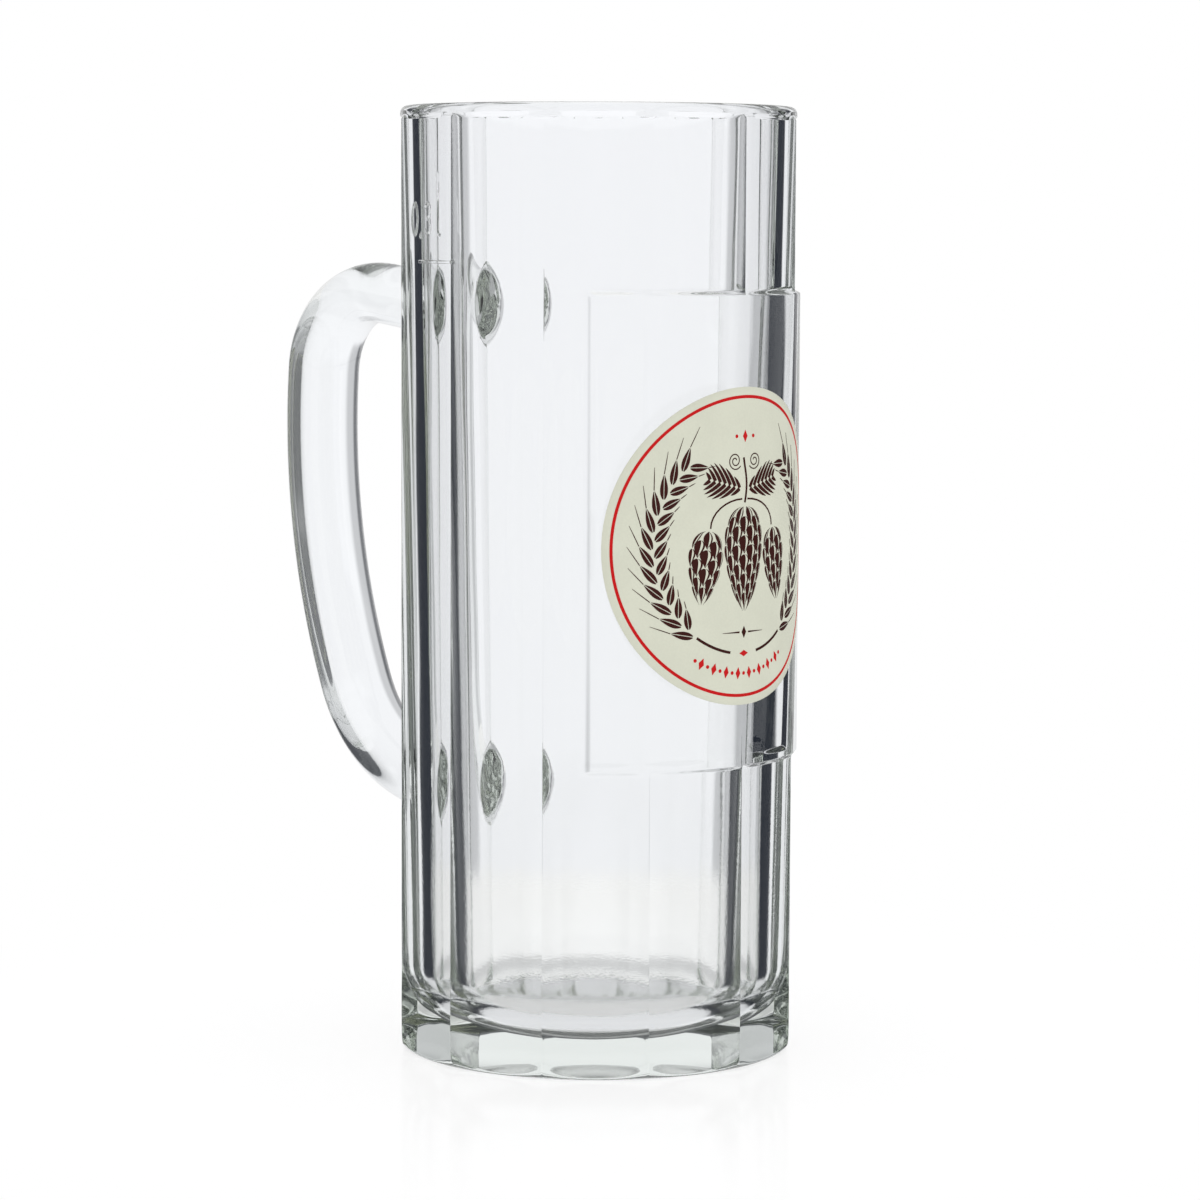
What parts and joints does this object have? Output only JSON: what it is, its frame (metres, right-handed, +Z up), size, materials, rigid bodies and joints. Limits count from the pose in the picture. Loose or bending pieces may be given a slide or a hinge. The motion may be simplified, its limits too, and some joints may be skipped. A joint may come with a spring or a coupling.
{
  "type": "beer mug",
  "caption": "Tall straight pressed-glass beer mug with a faceted barrel, thick base, loop handle and a raised smooth field that carries a round enamel label.",
  "frame": {"origin": "on the barrel's axis, at the flat underside that the mug stands on", "axes": "+Z up along the barrel's axis, +X towards the middle of the label, -X towards the handle"},
  "size_m": [0.1074, 0.066, 0.155],
  "materials": {
    "body_glass": "polished",
    "handle_glass": "polished",
    "cream_enamel": "satin",
    "red_enamel": "satin"
  },
  "bodies": {
    "root": {"mug_body": "body_glass", "handle": "handle_glass", "label_ground": "cream_enamel", "label_ring": "red_enamel"}
  },
  "joints": []
}
